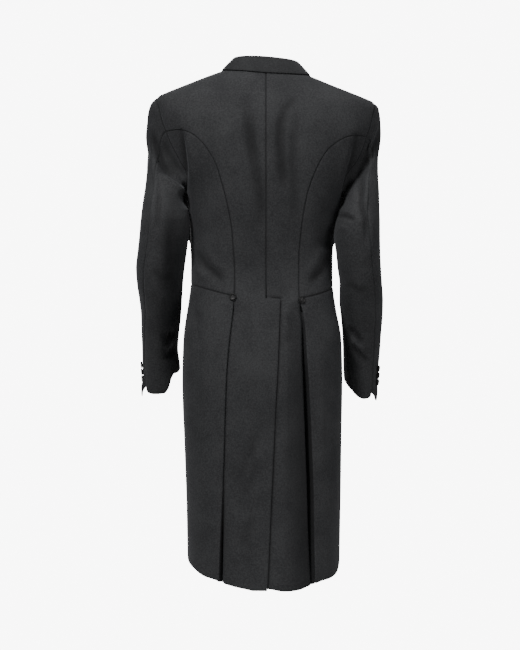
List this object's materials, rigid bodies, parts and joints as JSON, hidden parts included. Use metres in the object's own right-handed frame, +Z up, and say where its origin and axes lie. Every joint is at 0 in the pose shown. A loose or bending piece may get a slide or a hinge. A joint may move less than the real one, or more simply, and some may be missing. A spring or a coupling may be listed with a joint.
{
  "type": "morning coat",
  "caption": "Long black wool tailcoat with a cutaway front, turned collar and lapels, back vent with side pleats and two-piece sleeves, held in the form it takes when worn.",
  "frame": {"origin": "hold point inside the neck, level with the foot of the collar at the centre back", "axes": "+Z up, -Y out of the coat's back, +Y out of its front, +X to the wearer's right"},
  "size_m": [0.522, 0.2715, 1.1157],
  "materials": {
    "wool": "fine black worsted with a soft nap",
    "horn": "satin black horn"
  },
  "bodies": {
    "root": {"back_left": "wool", "back_right": "wool", "sidebody_left": "wool", "sidebody_right": "wool", "forepart_left": "wool", "forepart_right": "wool", "skirt_left": "wool", "skirt_right": "wool", "lapel_left": "wool", "lapel_right": "wool", "top_sleeve_left": "wool", "top_sleeve_right": "wool", "under_sleeve_left": "wool", "under_sleeve_right": "wool", "collar": "wool", "back_button_left": "horn", "back_button_right": "horn", "cuff_button_left_1": "horn", "cuff_button_left_2": "horn", "cuff_button_left_3": "horn", "cuff_button_right_1": "horn", "cuff_button_right_2": "horn", "cuff_button_right_3": "horn", "front_button": "horn"}
  },
  "joints": []
}
